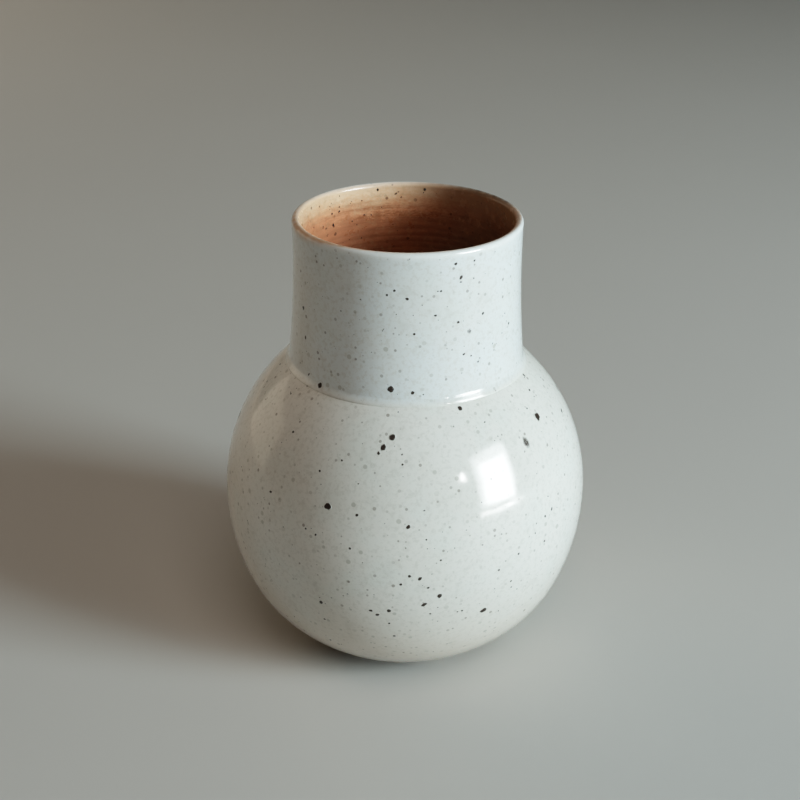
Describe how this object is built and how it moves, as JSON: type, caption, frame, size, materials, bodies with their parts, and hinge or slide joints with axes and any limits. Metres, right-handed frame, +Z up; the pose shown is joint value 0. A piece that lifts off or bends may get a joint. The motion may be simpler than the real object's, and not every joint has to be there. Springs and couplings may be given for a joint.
{
  "type": "ceramic bud vase",
  "caption": "Small hand-thrown stoneware vase: a round glazed belly under a wide straight collar, open at the top, standing on a bare foot ring.",
  "frame": {"origin": "centre of the foot ring's resting plane, on the vase's axis", "axes": "+Z up along the vase's axis, towards the mouth"},
  "size_m": [0.12, 0.12, 0.1473],
  "materials": {
    "stoneware": "matte",
    "slip": "matte",
    "cream_glaze": "gloss",
    "white_glaze": "gloss",
    "brown_glaze": "gloss"
  },
  "bodies": {
    "root": {"belly": "stoneware", "foot_ring": "stoneware", "neck_collar": "stoneware", "joint_slip": "slip", "belly_glaze": "cream_glaze", "neck_glaze": "white_glaze", "liner_glaze": "brown_glaze"}
  },
  "joints": []
}
